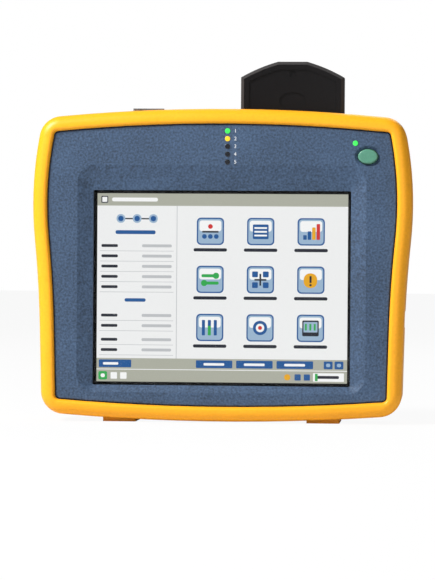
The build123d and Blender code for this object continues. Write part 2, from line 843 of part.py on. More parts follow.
with BuildPart() as strip_screws:
    screws(
        indicator_posts + inverter_posts,
        small_screw_radius - 0.05,
        small_head_radius,
        small_head_height,
        strip_back_y,
        strip_front_y - 3.5,
        1.0,
    )
finish(strip_screws, "strip_screws")

# ---------------------------------------------------------------- lamps and power button


def lens(x, z):
    """A light pipe with a domed face and a flange behind the skin."""
    rod(x, z, lamp_radius, panel_y - lamp_proud, strip_front_y - 1.1)
    rod(x, z, lamp_radius + 0.4, skin_y, skin_y + 0.8)


for number, (lens_x, lens_z) in enumerate(lamp_spots, start=1):
    with BuildPart() as status_lens:
        lens(lens_x, lens_z)
        fillet(status_lens.faces().sort_by(Axis.Y)[0].edges(), radius=0.3)
    finish(status_lens, f"status_lens_{number}")

with BuildPart() as power_lens:
    lens(power_lamp_x, power_lamp_z)
    fillet(power_lens.faces().sort_by(Axis.Y)[0].edges(), radius=0.3)
finish(power_lens, "power_lens")

switch_y = strip_front_y - 1.5
actuator_y = switch_y - 0.7

with BuildPart() as power_button:
    with BuildSketch(at_y(skin_y + 0.1)):
        with Locations((button_x, button_z)):
            Ellipse(button_width / 2, button_height / 2)
    extrude(amount=skin_y + 0.1 - panel_y + button_proud)
    fillet(power_button.faces().sort_by(Axis.Y)[0].edges(), radius=0.9)
    with BuildSketch(at_y(skin_y + 1.1)):
        with Locations((button_x, button_z)):
            Ellipse(button_width / 2 + 1.2, button_height / 2 + 1.2)
    extrude(amount=1.0)
    rod(button_x, button_z, 1.6, skin_y + 1.1, actuator_y - button_travel - 0.1)
finish(power_button, "power_button")

with BuildPart() as power_switch:
    with Locations((button_x, strip_front_y, button_z)):
        Box(6.0, 1.5, 6.0, align=(Align.CENTER, Align.MAX, Align.CENTER))
    rod(button_x, button_z, 1.3, actuator_y, switch_y)
finish(power_switch, "power_switch")

# ---------------------------------------------------------------- ports

lan_low_z = port_z - lan_length

with BuildPart() as lan_jack:
    block(
        (lan_x - lan_width / 2, board_back_y, lan_low_z),
        (lan_x + lan_width / 2, board_back_y + lan_height, port_z),
    )
    block(
        (lan_x - 5.9, board_back_y + 3.2, port_z - 14.0),
        (lan_x + 5.9, board_back_y + 10.2, port_z),
        Mode.SUBTRACT,
    )
    block(
        (lan_x - 3.1, board_back_y + 1.4, port_z - 10.0),
        (lan_x + 3.1, board_back_y + 3.2, port_z),
        Mode.SUBTRACT,
    )
finish(lan_jack, "lan_jack")

sfp_port_z = crown_z(abs(sfp_x) + sfp_width / 2, case_inset) - fit
sfp_low_z = sfp_port_z - sfp_length
sfp_mid_y = board_back_y + sfp_height / 2
module_width = sfp_width - 2 * sfp_wall - 0.3
module_height = sfp_height - 2 * sfp_wall - 0.3
module_low_z = sfp_low_z + sfp_wall + 0.6
nose_top_z = sfp_port_z + 3.6
bail_z = sfp_port_z + 2.2
bail_top_z = sfp_port_z + sfp_nose
bail_wire = 0.6
bail_x = module_width / 2 + 0.2 + bail_wire

with BuildPart() as sfp_cage:
    block(
        (sfp_x - sfp_width / 2, board_back_y, sfp_low_z),
        (sfp_x + sfp_width / 2, board_back_y + sfp_height, sfp_port_z),
    )
    block(
        (sfp_x - sfp_width / 2 + sfp_wall, board_back_y + sfp_wall, sfp_low_z + sfp_wall),
        (sfp_x + sfp_width / 2 - sfp_wall, board_back_y + sfp_height - sfp_wall, sfp_port_z),
        Mode.SUBTRACT,
    )
finish(sfp_cage, "sfp_cage")

with BuildPart() as sfp_module:
    block(
        (sfp_x - module_width / 2, sfp_mid_y - module_height / 2, module_low_z),
        (sfp_x + module_width / 2, sfp_mid_y + module_height / 2, nose_top_z),
    )
    for side in (-1, 1):
        with Locations((sfp_x + side * 3.1, sfp_mid_y + 0.8, nose_top_z)):
            Box(5.0, 4.6, 2 * 8.0, mode=Mode.SUBTRACT)
        with Locations((sfp_x + side * module_width / 2, sfp_mid_y, bail_z)):
            Cylinder(bail_wire + 0.1, 1.2, rotation=(0, 90, 0), mode=Mode.SUBTRACT)
finish(sfp_module, "sfp_module")

with BuildPart() as sfp_bail:
    for side in (-1, 1):
        with Locations((sfp_x + side * (bail_x + bail_wire), sfp_mid_y, bail_z)):
            Cylinder(
                bail_wire,
                bail_x + bail_wire - module_width / 2 + 0.4,
                rotation=(0, side * -90, 0),
                align=(Align.CENTER, Align.CENTER, Align.MIN),
            )
        with Locations((sfp_x + side * bail_x, sfp_mid_y, bail_z)):
            Cylinder(bail_wire, bail_top_z - bail_z, align=(Align.CENTER, Align.CENTER, Align.MIN))
    with Locations((sfp_x, sfp_mid_y, bail_top_z)):
        Cylinder(bail_wire, 2 * (bail_x + bail_wire), rotation=(0, 90, 0))
finish(sfp_bail, "sfp_bail")

usb_port_z = crown_z(abs(usb_x) + usb_width / 2, case_inset) - fit

with BuildPart() as usb_jack:
    block(
        (usb_x - usb_width / 2, board_back_y, usb_port_z - usb_length),
        (usb_x + usb_width / 2, board_back_y + usb_height, usb_port_z),
    )
    block(
        (usb_x - usb_width / 2 + 0.4, board_back_y + 0.4, usb_port_z - usb_length + 2.0),
        (usb_x + usb_width / 2 - 0.4, board_back_y + usb_height - 0.4, usb_port_z),
        Mode.SUBTRACT,
    )
    block(
        (usb_x - 5.6, board_back_y + 1.0, usb_port_z - usb_length + 1.0),
        (usb_x + 5.6, board_back_y + 2.9, usb_port_z - 1.0),
    )
finish(usb_jack, "usb_jack")

with BuildPart() as dc_jack:
    block(
        (inlet_face_x - 14.0, board_back_y, inlet_z - inlet_depth / 2),
        (inlet_face_x, board_back_y + inlet_depth, inlet_z + inlet_depth / 2),
    )
    with Locations((inlet_face_x, board_back_y + inlet_depth / 2, inlet_z)):
        Cylinder(
            inlet_bore / 2,
            inlet_depth,
            rotation=(0, -90, 0),
            align=(Align.CENTER, Align.CENTER, Align.MIN),
            mode=Mode.SUBTRACT,
        )
    with Locations((inlet_face_x - 1.0, board_back_y + inlet_depth / 2, inlet_z)):
        Cylinder(
            inlet_pin / 2, inlet_depth, rotation=(0, -90, 0), align=(Align.CENTER, Align.CENTER, Align.MIN)
        )
finish(dc_jack, "dc_jack")

# ---------------------------------------------------------------- radio card

cage_low_z = card_low_z - fit - 1.5
ejector_top_z = crown_z(ejector_x, case_inset) + ejector_travel + 0.2
ejector_low_z = ejector_top_z - ejector_length
guide_low_z = cage_top_z - 20.0

with BuildPart() as card_cage:
    block((cage_left_x, board_back_y, cage_low_z), (cage_right_x, cage_back_y, cage_top_z))
    block(
        (cage_left_x + card_cage_wall, board_back_y + card_cage_wall, card_low_z - fit),
        (cage_right_x - card_cage_wall, cage_back_y - card_cage_wall, cage_top_z),
        Mode.SUBTRACT,
    )
    block(
        (cage_right_x, ejector_y - ejector_size / 2 - 0.9, guide_low_z),
        (ejector_x + ejector_size / 2 + 0.9, ejector_y + ejector_size / 2 + 0.9, cage_top_z),
    )
    block(
        (ejector_x - ejector_size / 2 - 0.1, ejector_y - ejector_size / 2 - 0.1, guide_low_z),
        (ejector_x + ejector_size / 2 + 0.1, ejector_y + ejector_size / 2 + 0.1, cage_top_z),
        Mode.SUBTRACT,
    )
    block(
        (cage_left_x + 12.0, cage_back_y - card_cage_wall, card_low_z + 12.0),
        (cage_right_x - 12.0, cage_back_y, cage_top_z - 12.0),
        Mode.SUBTRACT,
    )
finish(card_cage, "card_cage")

with BuildPart() as eject_button:
    with Locations((ejector_x, ejector_y, ejector_low_z)):
        Box(ejector_size, ejector_size, ejector_length, align=(Align.CENTER, Align.CENTER, Align.MIN))
    fillet(eject_button.faces().sort_by(Axis.Z)[-1].edges(), radius=0.4)
    with Locations((ejector_x, ejector_y, ejector_low_z)):
        Box(ejector_size + 1.2, ejector_size, 2.5, align=(Align.CENTER, Align.CENTER, Align.MIN))
finish(eject_button, "eject_button")

card_end_z = cap_z + 5.0

with BuildPart() as radio_card:
    block(
        (card_x - card_width / 2, card_y, card_low_z),
        (card_x + card_width / 2, card_back_y, cap_z + cap_wall + 0.6),
    )
    block(
        (card_x - card_width / 2 + 2.0, card_y - 0.01, card_low_z + 3.0),
        (card_x + card_width / 2 - 2.0, card_y + 0.4, card_low_z + 60.0),
        Mode.SUBTRACT,
    )
    block(
        (card_x - card_width / 2 + cap_wall + fit, card_y + 1.0, cap_z),
        (card_x + card_width / 2 - cap_wall - fit, card_back_y - 1.0, card_end_z),
    )
finish(radio_card, "radio_card")

cap_back_y = cap_front_y + cap_depth
cap_split_y = cap_front_y + cap_depth / 2
cap_top_z = cap_z + cap_height
cap_shoulder_z = cap_z + cap_side_height


def cap_outline(inset):
    """The cap's face: straight sides, rounded shoulders and a short flat top, moved in by inset."""
    half = cap_width / 2
    with BuildSketch() as face:
        with BuildLine():
            Line((half, cap_z), (half, cap_shoulder_z))
            ThreePointArc(
                (half, cap_shoulder_z), (half * 0.6, cap_z + cap_height * 0.9), (cap_flat / 2, cap_top_z)
            )
            Line((cap_flat / 2, cap_top_z), (0, cap_top_z))
            mirror(about=Plane.YZ)
            Line((half, cap_z), (-half, cap_z))
        make_face()
        if inset:
            offset(amount=-inset, kind=Kind.INTERSECTION)
    return Pos(card_x, 0) * face.sketch


with BuildPart() as radio_cap_front:
    slab(cap_outline(0), cap_front_y, cap_split_y)
    chamfer(radio_cap_front.faces().sort_by(Axis.Y)[0].edges(), length=1.6)
    slab(cap_outline(cap_wall), cap_front_y + 2.4, cap_split_y, Mode.SUBTRACT)
    # sunken face inside the rim, and two thumb dimples
    slab(cap_outline(4.2), cap_front_y, cap_front_y + 0.7, Mode.SUBTRACT)
    with BuildSketch(at_y(cap_front_y + 1.5)):
        with Locations((card_x, cap_z + 9.0)):
            Ellipse(7.0, 4.4)
    extrude(amount=1.5, mode=Mode.SUBTRACT)
    with BuildSketch(at_y(cap_front_y + 1.5)):
        with Locations((card_x, cap_top_z - 6.6)):
            Circle(1.8)
    extrude(amount=1.5, mode=Mode.SUBTRACT)
    block(
        (card_x - card_half, card_y - fit, cap_z),
        (card_x + card_half, cap_split_y, cap_z + cap_wall + 0.9),
        Mode.SUBTRACT,
    )
finish(radio_cap_front, "radio_cap_front")

with BuildPart() as radio_cap_back:
    slab(cap_outline(0), cap_split_y, cap_back_y)
    chamfer(radio_cap_back.faces().sort_by(Axis.Y)[-1].edges(), length=1.6)
    slab(cap_outline(cap_wall), cap_split_y, cap_back_y - 1.8, Mode.SUBTRACT)
    block(
        (card_x - card_half, cap_split_y, cap_z),
        (card_x + card_half, card_back_y + fit, cap_z + cap_wall + 0.9),
        Mode.SUBTRACT,
    )
finish(radio_cap_back, "radio_cap_back")

with BuildPart() as antenna_board:
    block(
        (card_x - 20.0, card_y + 1.2, card_end_z),
        (card_x + 20.0, card_y + 2.4, cap_z + cap_height * 0.72),
    )
    block(
        (card_x - 12.0, card_y + 0.4, cap_z + 8.0),
        (card_x - 4.0, card_y + 1.2, cap_z + 16.0),
    )
finish(antenna_board, "antenna_board")

# ---------------------------------------------------------------- stylus and speaker

with BuildPart() as stylus_sleeve:
    with Locations((stylus_x, stylus_y, stylus_low_z - 1.1)):
        Cylinder(
            sleeve_radius, sleeve_top_z - stylus_low_z + 1.1, align=(Align.CENTER, Align.CENTER, Align.MIN)
        )
    with Locations((stylus_x, stylus_y, stylus_low_z - fit)):
        Cylinder(
            sleeve_bore,
            sleeve_top_z,
            align=(Align.CENTER, Align.CENTER, Align.MIN),
            mode=Mode.SUBTRACT,
        )
    scoop()
finish(stylus_sleeve, "stylus_sleeve")

with BuildPart() as stylus:
    with BuildSketch(Plane.XZ.offset(-stylus_y)):
        with BuildLine():
            Polyline(
                (stylus_x, stylus_low_z),
                (stylus_x + 0.7, stylus_low_z + 0.4),
                (stylus_x + 0.9, stylus_low_z + 3.0),
                (stylus_x + stylus_radius, stylus_low_z + 14.0),
                (stylus_x + stylus_radius, stylus_top_z - 1.0),
                (stylus_x + stylus_radius - 1.0, stylus_top_z),
                (stylus_x, stylus_top_z),
                close=True,
            )
        make_face()
    revolve(axis=Axis((stylus_x, stylus_y, 0), (0, 0, 1)))
finish(stylus, "stylus")

with BuildPart() as speaker:
    rod(-50.0, 128.0, 14.0, cover_inner_y - 1.5, cover_inner_y)
    rod(-50.0, 128.0, 12.0, cover_inner_y - 4.0, cover_inner_y - 1.5)
    rod(-50.0, 128.0, 7.0, cover_inner_y - 7.0, cover_inner_y - 4.0)
finish(speaker, "speaker")

# ---------------------------------------------------------------- battery

with BuildPart() as battery_case:
    block(
        (-battery_half, battery_front_y + battery_wall, battery_low_z),
        (battery_half, battery_back_y, battery_top_z),
    )
    fillet(battery_case.faces().sort_by(Axis.Y)[-1].edges(), radius=0.8)
    block(
        (-battery_half + battery_wall, battery_front_y, battery_low_z + battery_wall),
        (battery_half - battery_wall, battery_back_y - battery_wall, battery_top_z - battery_wall),
        Mode.SUBTRACT,
    )
    with Locations((0, battery_back_y, battery_low_z + 4.0)):
        Box(40.0, 1.0, 2.0, mode=Mode.SUBTRACT)
finish(battery_case, "battery_case")

with BuildPart() as battery_lid:
    block(
        (-battery_half, battery_front_y, battery_low_z),
        (battery_half, battery_front_y + battery_wall, battery_top_z),
    )
    with Locations((0, battery_front_y + battery_wall / 2, contact_z)):
        with GridLocations(terminal_pitch, 1, terminal_count, 1):
            Box(3.2, battery_wall, 6.2, mode=Mode.SUBTRACT)
finish(battery_lid, "battery_lid")

with BuildPart() as battery_terminals:
    with Locations((0, battery_front_y + battery_wall / 2, contact_z)):
        with GridLocations(terminal_pitch, 1, terminal_count, 1):
            Box(3.0, battery_wall, 6.0)
finish(battery_terminals, "battery_terminals")

cell_y = battery_front_y + battery_wall + fit + cell_diameter / 2

with BuildPart() as battery_cells:
    for row in range(cell_rows):
        row_z = battery_low_z + battery_wall + (row + 0.5) * (cell_diameter + cell_space)
        for side in (-1, 1):
            with Locations((side * (cell_length / 2 + 0.3), cell_y, row_z)):
                Cylinder(cell_diameter / 2, cell_length, rotation=(0, 90, 0))
finish(battery_cells, "battery_cells")

with BuildPart() as battery_contacts:
    with Locations((0, board_back_y, contact_z)):
        Box(26.0, bay_floor_y - board_back_y - 0.1, 8.0, align=(Align.CENTER, Align.MIN, Align.CENTER))
    with Locations((0, bay_floor_y - 0.1, contact_z)):
        with GridLocations(terminal_pitch, 1, terminal_count, 1):
            Box(1.6, fit, 3.0, align=(Align.CENTER, Align.MIN, Align.CENTER))
finish(battery_contacts, "battery_contacts")

with BuildPart() as battery_latch:
    block(
        (-latch_width / 2, latch_front_y, latch_low_z),
        (latch_width / 2, cover_y - fit, latch_low_z + latch_height),
    )
    with Locations((0, cover_y - fit, latch_low_z + latch_height / 2)):
        Box(14.0, 1.2, 4.0, mode=Mode.SUBTRACT)
    block((-6.0, latch_front_y, bay_top_z + 0.3), (6.0, latch_front_y + 1.5, latch_low_z))
finish(battery_latch, "battery_latch")

with BuildPart() as battery_feet:
    for side in (-1, 1):
        rod(side * 50.0, battery_low_z + 16.0, 6.0, battery_back_y, back_y)
    fillet(battery_feet.faces().group_by(Axis.Y)[-1].edges(), radius=0.8)
finish(battery_feet, "battery_feet")

with BuildPart() as rear_feet:
    for side in (-1, 1):
        rod(side * (half_width - 26.0), 130.0, 6.0, cover_y, back_y)
    fillet(rear_feet.faces().group_by(Axis.Y)[-1].edges(), radius=0.8)
finish(rear_feet, "rear_feet")

# ---------------------------------------------------------------- tilt stand

with BuildPart() as tilt_stand:
    block((-stand_half, stand_front_y, stand_low_z), (stand_half, stand_back_y, stand_low_z + stand_leg))
    for side in (-1, 1):
        with Locations((side * (stand_half - stand_leg / 2), stand_front_y, stand_low_z)):
            Box(
                stand_leg,
                stand_thickness,
                stand_pivot_z - stand_low_z,
                align=(Align.CENTER, Align.MIN, Align.MIN),
            )
        with Locations((side * (stand_half - stand_leg / 2), pivot_y, stand_pivot_z)):
            Cylinder(stand_knuckle, stand_leg, rotation=(0, 90, 0))
    for side in (-1, 1):
        with Locations((side * (stand_half - stand_leg / 2), pivot_y, stand_pivot_z)):
            Cylinder(stand_pin_radius + 0.05, stand_leg, rotation=(0, 90, 0), mode=Mode.SUBTRACT)
    block((-10.0, stand_back_y - 1.2, stand_low_z), (10.0, stand_back_y, stand_low_z + 2.6), Mode.SUBTRACT)
finish(tilt_stand, "tilt_stand")

with BuildPart() as stand_pins:
    for side in (-1, 1):
        with Locations((side * (stand_half - stand_leg / 2), pivot_y, stand_pivot_z)):
            Cylinder(stand_pin_radius, stand_leg + 2 * fit + 2 * groove_wall, rotation=(0, 90, 0))
finish(stand_pins, "stand_pins")

# ---------------------------------------------------------------- case fasteners

with BuildPart() as case_screws:
    screws(
        screw_spots,
        screw_radius,
        screw_head_radius,
        screw_head_height,
        screw_seat_y,
        screw_tip_y,
        screw_drive_radius,
    )
finish(case_screws, "case_screws")

with BuildPart() as threaded_inserts:
    for x, z in screw_spots:
        rod(x, z, insert_radius - 0.02, parting_y - insert_length, parting_y)
    for x, z in screw_spots:
        rod(x, z, screw_radius + 0.05, parting_y - insert_length, parting_y, Mode.SUBTRACT)
finish(threaded_inserts, "threaded_inserts")
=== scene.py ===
from math import cos, pi, radians, sin

import bpy
from mathutils import Euler, Matrix, Vector


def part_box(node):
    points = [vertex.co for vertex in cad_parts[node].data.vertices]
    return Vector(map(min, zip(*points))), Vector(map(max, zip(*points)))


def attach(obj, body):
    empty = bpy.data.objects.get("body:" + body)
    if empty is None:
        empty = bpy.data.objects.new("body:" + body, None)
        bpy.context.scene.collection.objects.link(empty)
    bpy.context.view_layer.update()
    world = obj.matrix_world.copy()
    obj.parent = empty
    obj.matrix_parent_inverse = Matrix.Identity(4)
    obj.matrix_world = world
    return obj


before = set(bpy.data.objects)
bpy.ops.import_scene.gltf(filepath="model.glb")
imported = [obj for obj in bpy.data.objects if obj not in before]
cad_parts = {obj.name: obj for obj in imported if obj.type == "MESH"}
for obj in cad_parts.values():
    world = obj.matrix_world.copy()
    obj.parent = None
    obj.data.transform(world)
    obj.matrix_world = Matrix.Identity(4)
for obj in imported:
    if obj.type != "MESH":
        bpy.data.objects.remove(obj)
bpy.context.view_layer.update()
MM = 0.001

# ---------------------------------------------------------------- studio
# A pale floor that runs into a white surround, one large soft lamp high on the left, a weaker one
# on the right, and a long lens almost square to the screen.

AIM = Vector((-0.0017, -0.025, 0.0688))
CAMERA_DISTANCE = 1.5
CAMERA_AZIMUTH = radians(4.5)
CAMERA_ELEVATION = radians(0.6)
CAMERA_ROLL = radians(0.4)
WIDTH_SEEN = 0.2249

camera_data = bpy.data.cameras.new("camera")
camera_data.sensor_fit = "HORIZONTAL"
camera_data.sensor_width = 36.0
camera_data.lens = camera_data.sensor_width * CAMERA_DISTANCE / WIDTH_SEEN
camera_data.clip_end = 20.0
camera = bpy.data.objects.new("camera", camera_data)
bpy.context.collection.objects.link(camera)
camera.location = AIM + CAMERA_DISTANCE * Vector(
    (
        sin(CAMERA_AZIMUTH) * cos(CAMERA_ELEVATION),
        -cos(CAMERA_AZIMUTH) * cos(CAMERA_ELEVATION),
        sin(CAMERA_ELEVATION),
    )
)
look = (AIM - camera.location).to_track_quat("-Z", "Y").to_matrix().to_4x4()
camera.rotation_euler = (look @ Matrix.Rotation(CAMERA_ROLL, 4, "Z")).to_euler()
bpy.context.scene.camera = camera
bpy.context.scene.view_settings.view_transform = "Standard"


LIT_POINT = Vector((0.0, 0.0, 0.08))


def lamp(name, place, size, watts):
    """A square area lamp that faces the middle of the instrument."""
    data = bpy.data.lights.new(name, "AREA")
    data.size = size
    data.energy = watts
    lamp_object = bpy.data.objects.new(name, data)
    bpy.context.collection.objects.link(lamp_object)
    lamp_object.location = place
    towards = LIT_POINT - Vector(place)
    lamp_object.rotation_euler = towards.to_track_quat("-Z", "Y").to_euler()


lamp("key lamp", (-1.0, -0.72, 1.1), 0.4, 40.0)
lamp("side lamp", (0.5, -1.2, 0.4), 0.8, 3.0)
lamp("back lamp", (0.3, 1.0, 1.0), 0.8, 6.0)

world = bpy.data.worlds.new("surround")
bpy.context.scene.world = world
world.use_nodes = True
world_nodes = world.node_tree.nodes
world_links = world.node_tree.links
background = world_nodes["Background"]
background.inputs["Color"].default_value = (1.0, 1.0, 1.0, 1.0)
light_path = world_nodes.new("ShaderNodeLightPath")
strength = world_nodes.new("ShaderNodeMapRange")
strength.inputs["To Min"].default_value = 0.16
strength.inputs["To Max"].default_value = 1.0
world_links.new(light_path.outputs["Is Camera Ray"], strength.inputs["Value"])
world_links.new(strength.outputs["Result"], background.inputs["Strength"])


def new_material(name):
    """A material and its node tree's nodes, links and main shader."""
    material = bpy.data.materials.new(name)
    material.use_nodes = True
    nodes, links = material.node_tree.nodes, material.node_tree.links
    return material, nodes, links, nodes["Principled BSDF"]


floor_material, nodes, links, shader = new_material("pale floor")
shader.inputs["Base Color"].default_value = (0.7, 0.7, 0.7, 1.0)
shader.inputs["Roughness"].default_value = 0.9
glow = nodes.new("ShaderNodeEmission")
blend = nodes.new("ShaderNodeMixShader")
ray = nodes.new("ShaderNodeLightPath")
share = nodes.new("ShaderNodeMath")
share.operation = "MULTIPLY"
share.inputs[1].default_value = 0.93
links.new(ray.outputs["Is Camera Ray"], share.inputs[0])
links.new(share.outputs["Value"], blend.inputs["Fac"])
links.new(shader.outputs["BSDF"], blend.inputs[1])
links.new(glow.outputs["Emission"], blend.inputs[2])
links.new(blend.outputs["Shader"], nodes["Material Output"].inputs["Surface"])

FLOOR_HALF = 6.0
floor_mesh = bpy.data.meshes.new("floor")
floor_corners = [(x * FLOOR_HALF, y * FLOOR_HALF, 0) for x, y in ((-1, -1), (1, -1), (1, 1), (-1, 1))]
floor_mesh.from_pydata(floor_corners, [], [(0, 1, 2, 3)])
floor = bpy.data.objects.new("floor", floor_mesh)
floor_mesh.materials.append(floor_material)
bpy.context.collection.objects.link(floor)

# ---------------------------------------------------------------- holster
# One thick moulding of yellow rubber that stretches over the case. Its skin is smooth with a soft
# sheen, a little deeper in colour where dirt and handling have dulled it.


def paint(material, *names):
    """Puts a material on every slot of these CAD nodes."""
    for name in names:
        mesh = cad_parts[name].data
        if not mesh.materials:
            mesh.materials.append(material)
        for index in range(len(mesh.materials)):
            mesh.materials[index] = material


def noise(nodes, links, size, detail=2.0):
    """A noise pattern whose lumps are about size metres across, on the piece's own coordinates."""
    coordinates = nodes.new("ShaderNodeTexCoord")
    pattern = nodes.new("ShaderNodeTexNoise")
    pattern.inputs["Scale"].default_value = 1.0 / size
    pattern.inputs["Detail"].default_value = detail
    links.new(coordinates.outputs["Object"], pattern.inputs["Vector"])
    return pattern.outputs["Fac"]


def ramp(nodes, links, value, *stops):
    """A colour ramp over value; each stop is (position, colour)."""
    node = nodes.new("ShaderNodeValToRGB")
    elements = node.color_ramp.elements
    for index, (position, colour) in enumerate(stops):
        element = elements[index] if index < 2 else elements.new(position)
        element.position = position
        element.color = (*colour, 1.0)
    links.new(value, node.inputs["Fac"])
    return node.outputs["Color"]


def bump(nodes, links, shader, height, distance, strength=1.0):
    """Raises the surface by height, up to distance metres."""
    node = nodes.new("ShaderNodeBump")
    node.inputs["Strength"].default_value = strength
    node.inputs["Distance"].default_value = distance
    links.new(height, node.inputs["Height"])
    links.new(node.outputs["Normal"], shader.inputs["Normal"])


def shaded(colour, factor):
    """A colour made lighter or darker."""
    return tuple(min(1.0, channel * factor) for channel in colour)


def moulded(name, colour, roughness, grain, relief, spread=0.12, coat=0.0, specular=0.35):
    """A moulded plastic or rubber: fine grain in relief and colour, and a slow drift of tone."""
    material, nodes, links, shader = new_material(name)
    fine = noise(nodes, links, grain)
    slow = noise(nodes, links, 0.03)
    tone = nodes.new("ShaderNodeMath")
    tone.operation = "MULTIPLY_ADD"
    tone.inputs[1].default_value = 0.35
    links.new(slow, tone.inputs[0])
    links.new(fine, tone.inputs[2])
    colours = ramp(
        nodes,
        links,
        tone.outputs["Value"],
        (0.42, shaded(colour, 1 - spread)),
        (0.92, shaded(colour, 1 + spread)),
    )
    links.new(colours, shader.inputs["Base Color"])
    gloss = nodes.new("ShaderNodeMapRange")
    gloss.inputs["To Min"].default_value = roughness - 0.05
    gloss.inputs["To Max"].default_value = roughness + 0.06
    links.new(slow, gloss.inputs["Value"])
    links.new(gloss.outputs["Result"], shader.inputs["Roughness"])
    shader.inputs["Coat Weight"].default_value = coat
    shader.inputs["Specular IOR Level"].default_value = specular
    bump(nodes, links, shader, fine, relief)
    return material


YELLOW = (0.93, 0.395, 0.009)
rubber_yellow = moulded("yellow holster rubber", YELLOW, 0.42, 0.0012, 0.00002, spread=0.05)
paint(rubber_yellow, "holster", "foot_pads")

# ---------------------------------------------------------------- case
# Front and rear shells of blue-grey ABS, spark-eroded to a fine leathery grain, screwed together
# from behind over a black cord seal.

CASE_BLUE = (0.040, 0.072, 0.130)
case_plastic = moulded("blue-grey grained plastic", CASE_BLUE, 0.62, 0.0011, 0.00024, spread=0.5)
paint(case_plastic, "front_case", "rear_cover")

black_rubber = moulded("black rubber", (0.02, 0.02, 0.022), 0.7, 0.0006, 0.00003)
paint(black_rubber, "case_seal", "display_gasket", "rear_feet", "battery_feet")

# ---------------------------------------------------------------- screen
# A clear touch panel over a colour display in a black frame, behind a foam gasket.

touch_glass, nodes, links, shader = new_material("touch panel glass")
shader.inputs["Base Color"].default_value = (0.97, 0.98, 0.98, 1.0)
shader.inputs["Transmission Weight"].default_value = 1.0
shader.inputs["IOR"].default_value = 1.08
smear = noise(nodes, links, 0.02)
smear_range = nodes.new("ShaderNodeMapRange")
smear_range.inputs["To Min"].default_value = 0.0
smear_range.inputs["To Max"].default_value = 0.03
links.new(smear, smear_range.inputs["Value"])
links.new(smear_range.outputs["Result"], shader.inputs["Roughness"])
paint(touch_glass, "touch_panel")

black_frame = moulded("black display frame", (0.008, 0.008, 0.009), 0.5, 0.0008, 0.00002)
paint(black_frame, "lcd_frame", "lcd_panel")

guide_plastic = moulded("clear light guide", (0.85, 0.88, 0.9), 0.2, 0.002, 0.00001)
paint(guide_plastic, "backlight_guide")

# ---------------------------------------------------------------- picture on the screen
# What the display shows: a plain menu of a page, a title bar, a list, nine round-cornered tiles,
# and two bars along the foot. Each area is a lit film a few hundredths of a millimetre thick.

display_low, display_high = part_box("lcd_panel")
screen_middle = (Vector(display_low) + Vector(display_high)) / 2
GLASS_Y = display_low[1]
ACTIVE_WIDTH = 130.6 * MM
ACTIVE_HEIGHT = 98.0 * MM
FILM = 0.016 * MM
SCREEN_LEFT = screen_middle.x - ACTIVE_WIDTH / 2
SCREEN_LOW = screen_middle.z - ACTIVE_HEIGHT / 2


def lit(name, colour, edge=None, light=0.95):
    """A lit colour on the display, with a faint drift across it as a backlight has."""
    material, nodes, links, shader = new_material(name)
    shader.inputs["Base Color"].default_value = (0.0, 0.0, 0.0, 1.0)
    shader.inputs["Specular IOR Level"].default_value = 0.0
    shader.inputs["Roughness"].default_value = 1.0
    shader.inputs["Emission Color"].default_value = (*colour, 1.0)
    shader.inputs["Emission Strength"].default_value = light
    drift = noise(nodes, links, 0.05)
    shade = ramp(nodes, links, drift, (0.3, (0.0, 0.0, 0.0)), (0.7, (0.012, 0.012, 0.012)))
    links.new(shade, shader.inputs["Base Color"])
    return material


PAGE = lit("lit page", (0.92, 0.92, 0.92))
BEIGE = lit("lit bar", (0.45, 0.455, 0.385))
BLUE = lit("lit blue", (0.030, 0.115, 0.33))
PALE_BLUE = lit("lit pale blue", (0.36, 0.50, 0.66))
INK = lit("lit ink", (0.035, 0.038, 0.05))
WHITE = lit("lit white", (0.97, 0.97, 0.97))
RULE = lit("lit rule", (0.55, 0.56, 0.58))
GREEN = lit("lit green", (0.05, 0.42, 0.10))
AMBER = lit("lit amber", (0.85, 0.42, 0.03))
RED = lit("lit red", (0.68, 0.05, 0.05))


